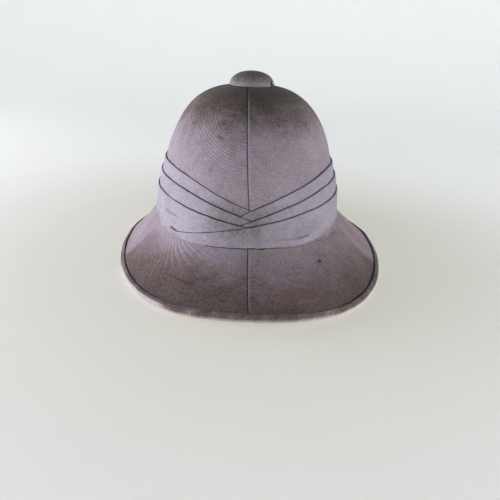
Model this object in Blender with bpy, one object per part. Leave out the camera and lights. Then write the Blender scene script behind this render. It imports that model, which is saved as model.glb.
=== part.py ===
"""Pith helmet: a pith shell under drill cloth, with a pleated puggaree, a bound edge and a ventilator.

Metres, +Z up. The front faces -Y and the wearer's crown is up. Every cloth piece is a wall between two
offsets of one form, the outer face of the cover cloth, so the pieces nest with even gaps. A place on the
form has an azimuth, 0 at the front and 90 degrees at +X, and a station: 0 at the ventilator hole, 1 at
the foot of the crown, 2 where the brim leaves the band, and 3 at the edge of the brim.
"""
import math

import bmesh
import bpy
from mathutils import Vector

# Edge of the brim: an egg-shaped oval whose centre is the middle of the helmet
EDGE_HALF_WIDTH = 0.1364
EDGE_FRONT = 0.1804
EDGE_BACK = 0.1707
EDGE_ROUNDNESS = 2.2
EDGE_BACK_ROUNDNESS = 2.05
EDGE_INWARD = 0.016         # share by which the edge comes in, most at this azimuth
EDGE_INWARD_DEG = 103.0
EDGE_INWARD_REACH_DEG = 28.0
EDGE_Z_FRONT = 0.0107
EDGE_Z_SIDE = 0.0085

# Line where the brim leaves the band
LEAVE_Z_FRONT = 0.0459
LEAVE_Z_SIDE = 0.0492
BRIM_DROOP = 0.0047         # how far the brim sinks halfway between its tips and its sides
BRIM_HOLLOW = 0.24          # 0 is a straight slope, more is steeper at the band and flatter at the edge

# Crown: an oval that turns round towards the top
CROWN_CENTRE = (-0.0048, -0.0013)
CROWN_HALF_WIDTH = 0.0896
CROWN_HALF_LENGTH = 0.1118
CROWN_FOOT_Z = 0.0430
CROWN_TOP_Z = 0.1728
CROWN_SIDE_POWER = 2.29     # fullness of the crown's profile, upward
CROWN_TOP_POWER = 2.99      # and inward
FILLET_RISE = 0.0031        # how far the fillet under the band starts above the brim's own slope

# Walls
GAP = 0.00035
CLOTH = 0.0010
FOLD_CLOTH = 0.0014
SHELL_AT_CROWN = 0.0045
SHELL_AT_EDGE = 0.0030
BINDING_CLOTH = 0.0010
BINDING_WIDTH_TIPS = 0.0032
BINDING_WIDTH_SIDES = 0.0042
BINDING_FADE_POWER = 8      # of the sine of azimuth: the wide stretch at a side is short
BINDING_SINK = 0.0007       # how far the centre of its round edge lies inside the brim's edge

# Front and back seams of the cover cloth, as places across from the crown's centre
SEAM_X_TOP = -0.0030
SEAM_X_NOTCH = 0.0018
SEAM_X_EDGE = 0.0024
SEAM_GAP = 0.0003

# Puggaree: each pleat rises from its apex in front to the sides, within FOLD_RISE_DEG of azimuth.
# The right pleat's end runs on past the apex, down to the left, under the next left pleat.
FOLD_RISE_DEG = 65.0
FOLDS = [
    # tail_drop is per degree
    dict(apex_deg=1.6, apex_z=0.0781, side_z=0.1032, tail_drop=0.00085, tail_end_deg=-27.0),
    dict(apex_deg=2.3, apex_z=0.0696, side_z=0.0908, tail_drop=0.00066, tail_end_deg=-27.0),
    dict(apex_deg=-0.5, apex_z=0.0643, side_z=0.0760, tail_drop=0.00040, tail_end_deg=-41.5),
]
LEFT_TIP_DEG = 0.6          # how far a left pleat's pointed end stays from its apex
TAIL_CLEAR_DEG = 0.3        # and its lower edge from the end of the right pleat under it

# Ventilator
HOLE_RADIUS = 0.0100
CAP_RADIUS = 0.0221
CAP_LIP = 0.0018
CAP_DOME = 0.0126
CAP_WALL = 0.0015
TUBE_RADIUS = 0.0093
TUBE_WALL = 0.0015
FLANGE_RADIUS = 0.0160
FLANGE_THICKNESS = 0.0015

# Facets
TURN_STEPS = 52             # even, so that both halves get as many
CROWN_STEPS = 8
FILLET_STEPS = 3
BRIM_STEPS = 4
FOLD_STEPS = 3
ROUND_STEPS = 5             # round the outside of the binding
CAP_TURN_STEPS = 24
CAP_STEPS = 4
CROWDED_DEG = 1.4           # an even column this near to a pleat's own gives way to it
SHARP_DEG = 35.0            # edges that turn by more than this stay crisp
SEAM_HALVINGS = 24          # of the azimuths that the front seam is looked for in
SEAM_MOST_DEG = 25.0

FRONT = 0.0
BACK = math.pi
PROBE = 1e-3                # step for measuring a surface's slope

COLOURS = {
    "pith": (0.52, 0.42, 0.30),
    "cover_cloth": (0.30, 0.25, 0.24),
    "puggaree_cloth": (0.36, 0.31, 0.33),
    "binding_cloth": (0.27, 0.23, 0.21),
    "brass": (0.45, 0.34, 0.14),
}


def clear_scene():
    for obj in list(bpy.data.objects):
        bpy.data.objects.remove(obj, do_unlink=True)


def make_material(name, roughness, metallic=0.0):
    material = bpy.data.materials.new(name)
    material.use_nodes = True
    shader = material.node_tree.nodes["Principled BSDF"]
    shader.inputs["Base Color"].default_value = (*COLOURS[name], 1.0)
    shader.inputs["Roughness"].default_value = roughness
    shader.inputs["Metallic"].default_value = metallic
    return material


def mix(low, high, share):
    return low + (high - low) * share


def signed_power(value, power):
    return math.copysign(abs(value) ** power, value)


def wave(turn, front, side):
    """A height that has one value at the tips, another at the sides and sinks between them."""
    sine, cosine = math.sin(turn), math.cos(turn)
    return front * cosine ** 2 + side * sine ** 2 - BRIM_DROOP * math.sin(2 * turn) ** 2


# The form

def crown_place(turn, scale, z, outward=0.0):
    """A point on the crown where its half width is scale of the full one."""
    width = CROWN_HALF_WIDTH * scale
    length = width + (CROWN_HALF_LENGTH - CROWN_HALF_WIDTH) * scale ** 2
    x = CROWN_CENTRE[0] + (width + outward) * math.sin(turn)
    y = CROWN_CENTRE[1] - (length + outward) * math.cos(turn)
    return Vector((x, y, z))


def crown_by_height(turn, z):
    share = max(0.0, (z - CROWN_FOOT_Z) / (CROWN_TOP_Z - CROWN_FOOT_Z))
    scale = (1 - share ** CROWN_SIDE_POWER) ** (1 / CROWN_TOP_POWER)
    return crown_place(turn, scale, z)


def crown_by_angle(turn, angle):
    scale = math.cos(angle) ** (2 / CROWN_TOP_POWER)
    rise = math.sin(angle) ** (2 / CROWN_SIDE_POWER)
    return crown_place(turn, scale, mix(CROWN_FOOT_Z, CROWN_TOP_Z, rise))


def crown_angle_at(z):
    share = (z - CROWN_FOOT_Z) / (CROWN_TOP_Z - CROWN_FOOT_Z)
    return math.asin(share ** (CROWN_SIDE_POWER / 2))


HOLE_ANGLE = math.acos((HOLE_RADIUS / CROWN_HALF_WIDTH) ** (CROWN_TOP_POWER / 2))
BAND_OUT = len(FOLDS) * (FOLD_CLOTH + GAP)


def leave_z(turn):
    return wave(turn, LEAVE_Z_FRONT, LEAVE_Z_SIDE)


def leave_point(turn):
    return crown_place(turn, 1.0, leave_z(turn), BAND_OUT)


def edge_point(turn):
    """The oval, rounder behind, and drawn in a little behind the sides."""
    in_front = math.cos(turn) > 0
    length = EDGE_FRONT if in_front else EDGE_BACK
    power = 2 / (EDGE_ROUNDNESS if in_front else EDGE_BACK_ROUNDNESS)
    degrees = math.degrees(abs(math.atan2(math.sin(turn), math.cos(turn))))
    size = 1 - EDGE_INWARD * math.exp(-((degrees - EDGE_INWARD_DEG) / EDGE_INWARD_REACH_DEG) ** 2)
    x = EDGE_HALF_WIDTH * size * signed_power(math.sin(turn), power)
    y = (EDGE_FRONT - EDGE_BACK) / 2 - length * size * signed_power(math.cos(turn), power)
    return Vector((x, y, wave(turn, EDGE_Z_FRONT, EDGE_Z_SIDE)))


def fillet_corner_z(turn):
    """Where the brim's slope, carried on under the band, meets the crown's wall."""
    leave, edge = leave_point(turn), edge_point(turn)
    run = (edge.xy - leave.xy).length
    return leave.z + BAND_OUT * (leave.z - edge.z) / run * (1 + BRIM_HOLLOW)


def curve(start, middle, end, share):
    """A point on the quadratic curve from start to end that is drawn towards middle."""
    return start * (1 - share) ** 2 + middle * 2 * share * (1 - share) + end * share ** 2


def form(turn, station):
    """The outer face of the cover cloth."""
    corner_z = fillet_corner_z(turn)
    wall_end_z = corner_z + FILLET_RISE
    if station <= 1:
        return crown_by_angle(turn, mix(HOLE_ANGLE, crown_angle_at(wall_end_z), station))
    leave = leave_point(turn)
    if station <= 2:
        wall_end = crown_by_height(turn, wall_end_z)
        return curve(wall_end, crown_place(turn, 1.0, corner_z), leave, station - 1)
    share = station - 2
    edge = edge_point(turn)
    point = leave.lerp(edge, share)
    point.z = leave.z - (leave.z - edge.z) * (share + BRIM_HOLLOW * share * (1 - share))
    return point


def outward_normal(surface, turn, place, downward=1):
    """The outward unit normal of surface(turn, place), where downward says which way place runs."""
    along = surface(turn, place + PROBE * downward) - surface(turn, place - PROBE * downward)
    around = surface(turn + PROBE, place) - surface(turn - PROBE, place)
    return along.cross(around).normalized()


def form_offset(turn, station, offset):
    probe_station = min(max(station, PROBE), 3 - PROBE)
    return form(turn, station) + outward_normal(form, turn, probe_station) * offset


def wall_offset(turn, z, offset):
    """A point off the crown's wall, placed by its height."""
    return crown_by_height(turn, z) + outward_normal(crown_by_height, turn, z, downward=-1) * offset


# Mesh building

def add_object(name, vertices, faces, material, parent):
    mesh = bpy.data.meshes.new(name)
    mesh.from_pydata(vertices, [], faces)
    shaped = bmesh.new()
    shaped.from_mesh(mesh)
    bmesh.ops.recalc_face_normals(shaped, faces=shaped.faces)
    if shaped.calc_volume(signed=True) < 0:
        bmesh.ops.reverse_faces(shaped, faces=shaped.faces)
    shaped.to_mesh(mesh)
    shaped.free()
    mesh.shade_smooth()
    mesh.set_sharp_from_angle(angle=math.radians(SHARP_DEG))
    mesh.materials.append(material)
    obj = bpy.data.objects.new(name, mesh)
    obj.parent = parent
    bpy.context.collection.objects.link(obj)
    return obj


def add_wall(name, outer, inner, closed, material, parent):
    """A solid between two grids of points, given as rows; closed rows join end to end."""
    rows, columns = len(outer), len(outer[0])
    vertices = [point for grid in (outer, inner) for row in grid for point in row]

    def index(side, row, column):
        return side * rows * columns + row * columns + column % columns

    faces = []
    for row in range(rows - 1):
        for column in range(columns if closed else columns - 1):
            corners = [(row, column), (row, column + 1), (row + 1, column + 1), (row + 1, column)]
            faces.append([index(0, *corner) for corner in corners])
            faces.append([index(1, *corner) for corner in reversed(corners)])
    for row in (0, rows - 1):
        for column in range(columns if closed else columns - 1):
            faces.append([index(0, row, column), index(0, row, column + 1),
                          index(1, row, column + 1), index(1, row, column)])
    if not closed:
        for column in (0, columns - 1):
            for row in range(rows - 1):
                faces.append([index(0, row, column), index(0, row + 1, column),
                              index(1, row + 1, column), index(1, row, column)])
    return add_object(name, vertices, faces, material, parent)


def add_turned(name, profile, centre, material, parent):
    """A solid of revolution; a profile point at radius 0 becomes a pole."""
    vertices, rings = [], []
    for radius, z in profile:
        count = 1 if radius == 0 else CAP_TURN_STEPS
        rings.append(range(len(vertices), len(vertices) + count))
        for step in range(count):
            turn = math.tau * step / CAP_TURN_STEPS
            vertices.append((centre[0] + radius * math.sin(turn), centre[1] - radius * math.cos(turn), z))
    faces = []
    for low, high in zip(rings, rings[1:] + rings[:1]):
        if len(low) == len(high) == 1:
            continue
        for step in range(CAP_TURN_STEPS):
            face = [low[step % len(low)], low[(step + 1) % len(low)],
                    high[(step + 1) % len(high)], high[step % len(high)]]
            faces.append(list(dict.fromkeys(face)))
    return add_object(name, vertices, faces, material, parent)


def spaced(start, end, steps):
    return [mix(start, end, step / steps) for step in range(steps + 1)]


# Pieces

def shell_thickness(station):
    return mix(SHELL_AT_CROWN, SHELL_AT_EDGE, max(0.0, station - 2))


def add_shell(material, parent):
    stations = spaced(0, 1, CROWN_STEPS) + spaced(1, 2, FILLET_STEPS)[1:] + spaced(2, 3, BRIM_STEPS)[1:]
    turns = [math.tau * step / TURN_STEPS for step in range(TURN_STEPS)]
    top = -(CLOTH + GAP)
    outer = [[form_offset(turn, station, top) for turn in turns] for station in stations]
    inner = [[form_offset(turn, station, top - shell_thickness(station)) for turn in turns]
             for station in stations]
    add_wall("pith_shell", outer, inner, True, material, parent)


def seam_turn(station, x):
    """The azimuth at which the form, at this station, is x across from the crown's centre."""
    high = math.radians(SEAM_MOST_DEG)
    low = -high
    for _ in range(SEAM_HALVINGS):
        middle = (low + high) / 2
        if form(middle, station).x - CROWN_CENTRE[0] < x:
            low = middle
        else:
            high = middle
    return middle


def crown_seam_x(station):
    z = form(FRONT, station).z
    notch_z = FOLDS[0]["apex_z"]
    share = min(1.0, (CROWN_TOP_Z - z) / (CROWN_TOP_Z - notch_z))
    return mix(SEAM_X_TOP, SEAM_X_NOTCH, share ** 2)


def brim_seam_x(station):
    return mix(SEAM_X_NOTCH, SEAM_X_EDGE, max(0.0, station - 2))


def add_panel(name, side, stations, seam_x, material, parent):
    """Half of a cover, from the front seam to the back one. side is -1 on the left, 1 on the right."""
    outer, inner = [], []
    for station in stations:
        reach = abs(form(FRONT, station).y - CROWN_CENTRE[1])
        clear = side * SEAM_GAP / 2 / reach
        front = seam_turn(station, seam_x(station)) + clear
        back = side * BACK - clear
        turns = spaced(front, back, TURN_STEPS // 2)
        outer.append([form_offset(turn, station, 0) for turn in turns])
        inner.append([form_offset(turn, station, -CLOTH) for turn in turns])
    add_wall(name, outer, inner, False, material, parent)


def add_covers(material, parent):
    crown_stations = spaced(0, 1, CROWN_STEPS)
    brim_start = 1 + GAP / FILLET_RISE
    brim_stations = [brim_start] + spaced(1, 2, FILLET_STEPS)[1:] + spaced(2, 3, BRIM_STEPS)[1:]
    for side, word in ((-1, "left"), (1, "right")):
        add_panel("crown_panel_" + word, side, crown_stations, crown_seam_x, material, parent)
        add_panel("brim_panel_" + word, side, brim_stations, brim_seam_x, material, parent)


def fold_top_z(fold, turn):
    """The folded edge of a pleat, from its apex up to the sides and down to the back seam."""
    degrees = math.degrees(turn)
    from_apex = min(abs(degrees - fold["apex_deg"]), 180 - abs(degrees))
    rise = math.sin(math.radians(min(90.0, from_apex * 90 / FOLD_RISE_DEG)))
    return mix(fold["apex_z"], fold["side_z"], rise)


def tail_top_z(fold, turn):
    """The right pleat's edge past the apex, straight down to the left."""
    past = min(fold["apex_deg"] - math.degrees(turn), fold["apex_deg"] - fold["tail_end_deg"])
    return fold["apex_z"] - fold["tail_drop"] * past


def foot_z(turn, offset):
    """The height at which a pleat's face, offset from the wall, stands just clear of the fillet."""
    corner_z = fillet_corner_z(turn)
    share = math.sqrt((offset - GAP) / BAND_OUT)
    return curve(corner_z + FILLET_RISE, corner_z, leave_z(turn), share) + GAP


def add_fold(name, turns, top, lowest, inner_offset, material, parent):
    """A pleat of the puggaree between its top line and the fillet, or a line named by lowest."""
    grids = []
    for offset in (inner_offset + FOLD_CLOTH, inner_offset):
        feet = [max(foot_z(turn, offset), lowest(turn)) for turn in turns]
        grids.append([[wall_offset(turn, mix(foot, top(turn), share), offset)
                       for turn, foot in zip(turns, feet)] for share in spaced(0, 1, FOLD_STEPS)])
    add_wall(name, grids[0], grids[1], False, material, parent)


def facet_columns(low, high, fixed):
    """Evenly stepped azimuths in degrees between low and high, with the fixed ones for any close to them."""
    step = 360 / TURN_STEPS
    even = [step * number for number in range(math.ceil(low / step), math.floor(high / step) + 1)]
    kept = [degrees for degrees in even if min(abs(degrees - place) for place in fixed) > CROWDED_DEG]
    return sorted(kept + fixed)


def add_puggaree(material, parent):
    back_end = 180 - math.degrees(SEAM_GAP / 2 / CROWN_HALF_LENGTH)
    for number, fold in enumerate(FOLDS, 1):
        offset = GAP + (number - 1) * (FOLD_CLOTH + GAP)
        tail_end = fold["tail_end_deg"]
        left_tip = fold["apex_deg"] - LEFT_TIP_DEG

        def above_tail(turn, fold=fold):
            at_tail = math.degrees(turn) > fold["tail_end_deg"] - TAIL_CLEAR_DEG / 2
            return tail_top_z(fold, turn) + GAP if at_tail else 0.0

        def right_top(turn, fold=fold):
            past_apex = math.degrees(turn) < fold["apex_deg"]
            return tail_top_z(fold, turn) if past_apex else fold_top_z(fold, turn)

        left_fixed = [-back_end, tail_end - TAIL_CLEAR_DEG, tail_end, left_tip]
        left_turns = [math.radians(degrees) for degrees in facet_columns(-back_end, left_tip, left_fixed)]
        add_fold(f"fold_left_{number}", left_turns, lambda turn, fold=fold: fold_top_z(fold, turn),
                 above_tail, offset, material, parent)

        right_fixed = [tail_end, fold["apex_deg"], back_end]
        right_turns = [math.radians(degrees) for degrees in facet_columns(tail_end, back_end, right_fixed)]
        add_fold(f"fold_right_{number}", right_turns, right_top, lambda turn: 0.0, offset, material, parent)


def binding_width(turn):
    """How far the tape reaches in over the brim: little at its front and back, more round its sides."""
    return mix(BINDING_WIDTH_TIPS, BINDING_WIDTH_SIDES, math.sin(turn) ** BINDING_FADE_POWER)


def binding_section(width):
    """The binding's closed section: (along the brim, across it) from the middle of the brim's edge."""
    half = (CLOTH + GAP + SHELL_AT_EDGE) / 2
    inside = half + GAP
    outside = inside + BINDING_CLOTH
    outer = [(-width, outside)]
    for step in range(ROUND_STEPS + 1):
        angle = math.pi * (0.5 - step / ROUND_STEPS)
        outer.append((outside * math.cos(angle) - BINDING_SINK, outside * math.sin(angle)))
    outer.append((-width, -outside))
    inner = [(-width, -inside), (GAP, -inside), (GAP, inside), (-width, inside)]
    return outer + inner


def add_binding(material, parent):
    middle = -(CLOTH + GAP + SHELL_AT_EDGE) / 2
    vertices, faces = [], []
    for step in range(TURN_STEPS):
        turn = math.tau * step / TURN_STEPS
        normal = outward_normal(form, turn, 3 - PROBE)
        around = (edge_point(turn + PROBE) - edge_point(turn - PROBE)).normalized()
        outward = around.cross(normal).normalized()
        if outward.dot(edge_point(turn)) < 0:
            outward.negate()
        core = edge_point(turn) + normal * middle
        section = binding_section(binding_width(turn))
        vertices += [core + outward * along + normal * across for along, across in section]
    count = len(section)
    for step in range(TURN_STEPS):
        here, there = step * count, (step + 1) % TURN_STEPS * count
        for corner in range(count):
            after = (corner + 1) % count
            faces.append([here + corner, here + after, there + after, there + corner])
    add_object("edge_binding", vertices, faces, material, parent)


def add_ventilator(cloth, brass, parent):
    seat_z = form(FRONT, 0).z
    edge_drop = CROWN_TOP_Z - crown_by_angle(FRONT, math.acos(
        (CAP_RADIUS / CROWN_HALF_WIDTH) ** (CROWN_TOP_POWER / 2))).z
    base = CROWN_TOP_Z - edge_drop + GAP
    lip = base + CAP_LIP
    angles = [math.pi / 2 * step / CAP_STEPS for step in range(CAP_STEPS + 1)]
    inner_radius, inner_dome = CAP_RADIUS - CAP_WALL, CAP_DOME - CAP_WALL
    outer = [(CAP_RADIUS * math.cos(angle), lip + CAP_DOME * math.sin(angle)) for angle in angles[:-1]]
    inner = [(inner_radius * math.cos(angle), lip + inner_dome * math.sin(angle)) for angle in angles[:-1]]
    profile = [(CAP_RADIUS, base)] + outer + [(0, lip + CAP_DOME), (0, lip + inner_dome)]
    profile += inner[::-1] + [(inner_radius, base)]
    add_turned("ventilator_cap", profile, CROWN_CENTRE, cloth, parent)

    under = seat_z - (CLOTH + GAP + SHELL_AT_CROWN) - 2 * GAP
    reach = lip + inner_dome * math.sqrt(1 - (TUBE_RADIUS / inner_radius) ** 2) - 2 * GAP
    bore = TUBE_RADIUS - TUBE_WALL
    bottom = under - FLANGE_THICKNESS
    collar = [(bore, bottom), (FLANGE_RADIUS, bottom), (FLANGE_RADIUS, under), (TUBE_RADIUS, under),
              (TUBE_RADIUS, reach), (bore, reach)]
    add_turned("ventilator_collar", collar, CROWN_CENTRE, brass, parent)


def stand_on_floor(helmet):
    """Puts the middle of the helmet's box over the origin and its lowest point at height 0."""
    points = [vertex.co for obj in helmet.children for vertex in obj.data.vertices]
    lows = [min(point[axis] for point in points) for axis in range(3)]
    highs = [max(point[axis] for point in points) for axis in range(3)]
    helmet.location = (-(lows[0] + highs[0]) / 2, -(lows[1] + highs[1]) / 2, -lows[2])


def main():
    clear_scene()
    helmet = bpy.data.objects.new("helmet", None)
    bpy.context.collection.objects.link(helmet)
    pith = make_material("pith", 0.9)
    cover = make_material("cover_cloth", 0.85)
    puggaree = make_material("puggaree_cloth", 0.85)
    binding = make_material("binding_cloth", 0.8)
    brass = make_material("brass", 0.45, 1.0)
    add_shell(pith, helmet)
    add_covers(cover, helmet)
    add_puggaree(puggaree, helmet)
    add_binding(binding, helmet)
    add_ventilator(cover, brass, helmet)
    stand_on_floor(helmet)


main()
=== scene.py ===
"""Looks of the pith helmet: drill cloth over pith, a pleated puggaree, a rolled edge and a domed cap.

The frame is the CAD model's: metres, +Z up, the front faces -Y. Each cloth surface is an offset of one
form, the outer face of the cover cloth. A place on it has an azimuth, 0 at the front and 90 degrees at
+X, and a station: 0 at the ventilator hole, 1 at the foot of the crown, 2 where the brim leaves the
band and 3 at the edge of the brim. Grids of points are arrays of rows by columns by 3.
"""
import math

import bmesh
import bpy
import numpy as np
from mathutils import Matrix, Vector


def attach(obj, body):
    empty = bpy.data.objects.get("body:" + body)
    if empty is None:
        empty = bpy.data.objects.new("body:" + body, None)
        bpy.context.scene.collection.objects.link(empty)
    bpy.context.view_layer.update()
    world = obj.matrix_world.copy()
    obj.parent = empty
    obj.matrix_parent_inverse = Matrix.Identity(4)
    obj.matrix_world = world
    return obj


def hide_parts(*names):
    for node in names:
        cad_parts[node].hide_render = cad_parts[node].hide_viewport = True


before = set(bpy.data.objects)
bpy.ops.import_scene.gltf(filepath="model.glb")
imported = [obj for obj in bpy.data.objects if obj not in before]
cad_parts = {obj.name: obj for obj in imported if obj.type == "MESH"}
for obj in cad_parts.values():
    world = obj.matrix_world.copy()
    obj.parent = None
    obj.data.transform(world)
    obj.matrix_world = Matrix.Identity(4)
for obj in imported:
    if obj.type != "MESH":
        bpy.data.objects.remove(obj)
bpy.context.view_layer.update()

# The form, as the CAD model has it
FORM_SHIFT = np.array((-0.00006, -0.00002, 0.00027))
EDGE_HALF_WIDTH = 0.1364
EDGE_FRONT = 0.1804
EDGE_BACK = 0.1707
EDGE_ROUNDNESS = 2.2
EDGE_BACK_ROUNDNESS = 2.05
EDGE_INWARD = 0.016         # share by which the edge comes in, most at this azimuth
EDGE_INWARD_DEG = 103.0
EDGE_INWARD_REACH_DEG = 28.0
EDGE_Z_FRONT = 0.0107
EDGE_Z_SIDE = 0.0085
LEAVE_Z_FRONT = 0.0459
LEAVE_Z_SIDE = 0.0492
BRIM_DROOP = 0.0047
BRIM_HOLLOW = 0.24
CROWN_CENTRE = (-0.0048, -0.0013)
CROWN_HALF_WIDTH = 0.0896
CROWN_HALF_LENGTH = 0.1118
CROWN_FOOT_Z = 0.0430
CROWN_TOP_Z = 0.1728
CROWN_SIDE_POWER = 2.29
CROWN_TOP_POWER = 2.99
FILLET_RISE = 0.0031
GAP = 0.00035
CLOTH = 0.0010
SHELL_AT_CROWN = 0.0045
SHELL_AT_EDGE = 0.0030
HOLE_RADIUS = 0.0100

# Front seam of the cover, as a place across from the crown's centre, and its lap: the right side's
# folded edge lies over the left side
SEAM_X_TOP = -0.0030
SEAM_X_NOTCH = 0.0018
SEAM_X_EDGE = 0.0036
LAP_HEIGHT = 0.0006
LAP_FLAT = 0.0048
LAP_END = 0.0085
LAP_ROUND = 0.0006

# Puggaree
PLEAT_PITCH = 0.00175       # from one pleat's face to the next
PLEAT_CLOTH = 0.00165
TAIL_CLOTH = 0.00085
FOLD_RISE_DEG = 65.0
FOLDS = [
    dict(apex_deg=1.6, apex_z=0.0781, side_z=0.1032, tail_drop=0.00085, tail_end_deg=-34.0),
    dict(apex_deg=2.3, apex_z=0.0696, side_z=0.0908, tail_drop=0.00066, tail_end_deg=-38.0),
    dict(apex_deg=-0.5, apex_z=0.0643, side_z=0.0760, tail_drop=0.00040, tail_end_deg=-50.0),
]

# Binding, seen in section: along the brim and across it, from the middle of the edge
BINDING_WIDTH_TIPS = 0.0032
BINDING_WIDTH_SIDES = 0.0042
BINDING_FADE_POWER = 8
BINDING_NARROW = 0.0014     # by how much it is narrower at this azimuth, on the right in front
BINDING_NARROW_DEG = 33.0
BINDING_NARROW_REACH_DEG = 20.0
BINDING_HALF = 0.00340
BINDING_SINK = 0.0007

# Ventilator
CAP_RADIUS = 0.0221
CAP_BASE_Z = 0.1724
CAP_HEIGHT = 0.0136
CAP_WALL = 0.0012
LIP_RADIUS = 0.0011

PROBE = 1e-4                # step for measuring a surface's slope
WELD = 1e-7
SHARP_DEG = 40
FRONT = 0.0
TAU = math.tau


# Arithmetic on arrays

def mix(low, high, share):
    return low + (high - low) * share


def smooth(value, start, end):
    """0 at start and before it, 1 from end on and an S-curve between them. end may be the lower one."""
    share = np.clip((value - start) / (end - start), 0, 1)
    return share * share * (3 - 2 * share)


def within(value, start, full, fading, end):
    """0 outside start and end, and 1 from full to fading."""
    return smooth(value, start, full) * smooth(value, end, fading)


def bump(value, centre, reach):
    """1 at centre, fading to both sides."""
    return np.exp(-((value - centre) / reach) ** 2)


def signed_power(value, power):
    return np.sign(value) * np.abs(value) ** power


def signed_degrees(turn):
    """An azimuth in degrees, from -180 to 180."""
    return np.degrees(np.arctan2(np.sin(turn), np.cos(turn)))


def all_round(columns):
    """Azimuths of the columns of a grid that goes all round."""
    return TAU * np.arange(columns) / columns


def unit(vectors):
    return vectors / np.linalg.norm(vectors, axis=-1, keepdims=True)


def stack(*parts):
    return np.stack(np.broadcast_arrays(*parts), axis=-1)


def waviness(points, wavelength, seed, waves=9):
    """A gentle field of about -1 to 1 over space, with ups and downs about a wavelength apart."""
    source = np.random.RandomState(seed)
    total = 0
    for _ in range(waves):
        direction = unit(source.normal(size=3)) * TAU / (wavelength * source.uniform(0.7, 1.6))
        total = total + np.sin(points @ direction + source.uniform(0, TAU))
    return total / math.sqrt(waves)


def unevenness(points, waves):
    """The sum of some fields of waviness, each given as its height, wavelength and seed."""
    return sum(height * waviness(points, wavelength, seed) for height, wavelength, seed in waves)


# The form

def wave(turn, front, side):
    return (front * np.cos(turn) ** 2 + side * np.sin(turn) ** 2
            - BRIM_DROOP * np.sin(2 * turn) ** 2)


def crown_place(turn, scale, z, outward=0.0):
    width = CROWN_HALF_WIDTH * scale
    length = width + (CROWN_HALF_LENGTH - CROWN_HALF_WIDTH) * scale ** 2
    x = CROWN_CENTRE[0] + (width + outward) * np.sin(turn)
    y = CROWN_CENTRE[1] - (length + outward) * np.cos(turn)
    return stack(x, y, z) + FORM_SHIFT


def crown_by_height(turn, z):
    share = np.clip((z - CROWN_FOOT_Z) / (CROWN_TOP_Z - CROWN_FOOT_Z), 0, 1)
    scale = (1 - share ** CROWN_SIDE_POWER) ** (1 / CROWN_TOP_POWER)
    return crown_place(turn, scale, z)


def crown_by_angle(turn, angle):
    scale = np.cos(angle) ** (2 / CROWN_TOP_POWER)
    rise = np.sin(angle) ** (2 / CROWN_SIDE_POWER)
    return crown_place(turn, scale, mix(CROWN_FOOT_Z, CROWN_TOP_Z, rise))


def crown_angle_at(z):
    share = (z - CROWN_FOOT_Z) / (CROWN_TOP_Z - CROWN_FOOT_Z)
    return np.arcsin(share ** (CROWN_SIDE_POWER / 2))


HOLE_ANGLE = math.acos((HOLE_RADIUS / CROWN_HALF_WIDTH) ** (CROWN_TOP_POWER / 2))
BAND_OUT = len(FOLDS) * PLEAT_PITCH


def leave_z(turn):
    return wave(turn, LEAVE_Z_FRONT, LEAVE_Z_SIDE)


def leave_point(turn):
    return crown_place(turn, 1.0, leave_z(turn), BAND_OUT)


def edge_point(turn):
    """The oval, rounder behind, and drawn in a little behind the sides."""
    in_front = np.cos(turn) > 0
    length = np.where(in_front, EDGE_FRONT, EDGE_BACK)
    power = 2 / np.where(in_front, EDGE_ROUNDNESS, EDGE_BACK_ROUNDNESS)
    degrees = np.abs(signed_degrees(turn))
    size = 1 - EDGE_INWARD * bump(degrees, EDGE_INWARD_DEG, EDGE_INWARD_REACH_DEG)
    x = EDGE_HALF_WIDTH * size * signed_power(np.sin(turn), power)
    y = (EDGE_FRONT - EDGE_BACK) / 2 - length * size * signed_power(np.cos(turn), power)
    return stack(x, y, wave(turn, EDGE_Z_FRONT, EDGE_Z_SIDE)) + FORM_SHIFT


def brim_run(turn):
    """The brim's width, along its slope."""
    return np.linalg.norm(edge_point(turn) - leave_point(turn), axis=-1)


def brim_start_slope(turn):
    """How steeply the brim starts down from the band."""
    leave, edge = leave_point(turn), edge_point(turn)
    run = np.linalg.norm(edge[..., :2] - leave[..., :2], axis=-1)
    return (leave[..., 2] - edge[..., 2]) / run * (1 + BRIM_HOLLOW)


def fillet_corner_z(turn):
    return leave_z(turn) + BAND_OUT * brim_start_slope(turn)


def curve(start, middle, end, share):
    return start * (1 - share) ** 2 + middle * 2 * share * (1 - share) + end * share ** 2


def form(turn, station):
    """The outer face of the cover cloth."""
    turn, station = np.broadcast_arrays(turn, station)
    corner_z = fillet_corner_z(turn)
    wall_end_z = corner_z + FILLET_RISE
    angle = mix(HOLE_ANGLE, crown_angle_at(wall_end_z), np.minimum(station, 1))
    crown = crown_by_angle(turn, angle)
    leave, edge = leave_point(turn), edge_point(turn)
    share = np.clip(station - 1, 0, 1)[..., None]
    fillet = curve(crown_by_height(turn, wall_end_z), crown_place(turn, 1.0, corner_z), leave, share)
    share = np.clip(station - 2, 0, 1)
    brim = mix(leave, edge, share[..., None])
    brim[..., 2] = mix(leave[..., 2], edge[..., 2], share + BRIM_HOLLOW * share * (1 - share))
    station = station[..., None]
    return np.where(station <= 1, crown, np.where(station <= 2, fillet, brim))


def binding_width(turn):
    width = mix(BINDING_WIDTH_TIPS, BINDING_WIDTH_SIDES, np.sin(turn) ** BINDING_FADE_POWER)
    return width - BINDING_NARROW * bump(signed_degrees(turn), BINDING_NARROW_DEG, BINDING_NARROW_REACH_DEG)


def inside_binding(turn, station):
    """Distance over the brim from the inner edge of the binding."""
    return (3 - station) * brim_run(turn) - binding_width(turn)


def outward_normal(surface, turn, place, downward=1):
    along = surface(turn, place + PROBE * downward) - surface(turn, place - PROBE * downward)
    around = surface(turn + PROBE, place) - surface(turn - PROBE, place)
    return unit(np.cross(along, around))


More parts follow.
